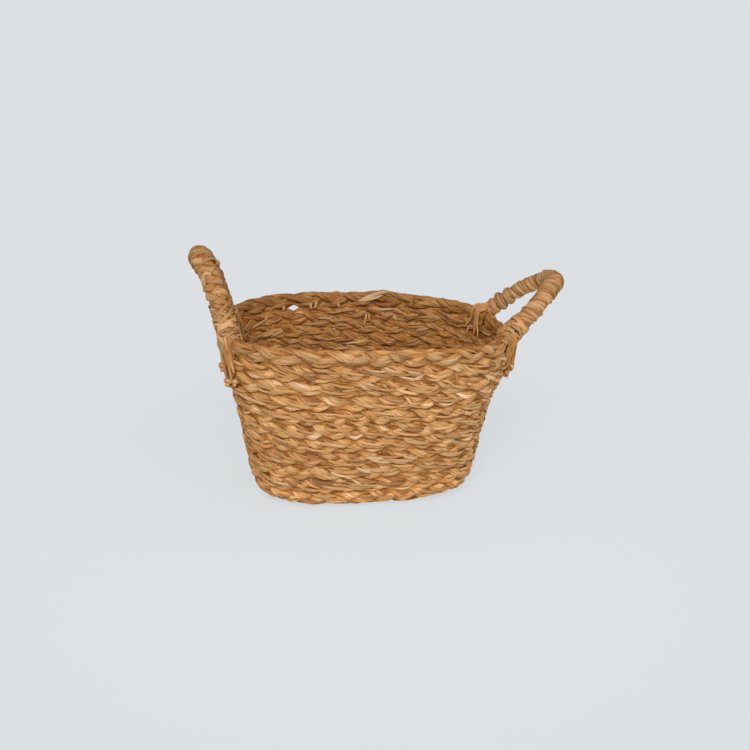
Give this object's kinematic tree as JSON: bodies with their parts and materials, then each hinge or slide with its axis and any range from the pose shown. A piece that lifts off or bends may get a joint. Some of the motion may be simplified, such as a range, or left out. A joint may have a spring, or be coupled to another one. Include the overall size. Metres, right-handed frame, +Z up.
{
  "type": "basket",
  "caption": "Decorative oval basket of plaited seagrass coiled from base to rim, with a rounded rim plait and wound loop handles tied over the rim at both ends.",
  "frame": {"origin": "on the surface that the basket stands on, in the middle of the flat underside of the base's first run", "axes": "+X along the basket to its right end, +Y to its back, +Z up"},
  "size_m": [0.3757, 0.2126, 0.2523],
  "materials": {
    "base_plait": "dry plaited leaf, matt",
    "wall_plait": "dry plaited leaf, matt with a slight sheen on flat leaves",
    "rim_plait": "dry plaited leaf, matt with a slight sheen on flat leaves",
    "handle_bundle": "bundle of dry leaf, matt",
    "handle_strand": "wound flat leaf strand, slight sheen",
    "lashing_strand": "flat leaf strand, slight sheen"
  },
  "bodies": {
    "basket": {"base_first_run": "base_plait", "base_coil": "base_plait", "wall_course_01": "wall_plait", "wall_course_02": "wall_plait", "wall_course_03": "wall_plait", "wall_course_04": "wall_plait", "wall_course_05": "wall_plait", "wall_course_06": "wall_plait", "wall_course_07": "wall_plait", "wall_course_08": "wall_plait", "wall_course_09": "wall_plait", "wall_course_10": "wall_plait", "wall_course_11": "wall_plait", "rim_plait": "rim_plait", "left_front_lashing": "lashing_strand", "left_back_lashing": "lashing_strand", "right_front_lashing": "lashing_strand", "right_back_lashing": "lashing_strand"},
    "left_handle": {"left_handle_core": "handle_bundle", "left_handle_winding": "handle_strand"},
    "right_handle": {"right_handle_core": "handle_bundle", "right_handle_winding": "handle_strand"}
  },
  "joints": [
    {"name": "left_handle_tilt", "type": "hinge", "parent": "basket", "child": "left_handle", "pos_m": [-0.13112, -0.007, 0.16752], "axis": [0.0539, -0.9984, 0.0187], "range_deg": [-50, 30]},
    {"name": "right_handle_tilt", "type": "hinge", "parent": "basket", "child": "right_handle", "pos_m": [0.13797, 0.004, 0.15907], "axis": [-0.0322, 0.9994, -0.0148], "range_deg": [-80, 0]}
  ]
}
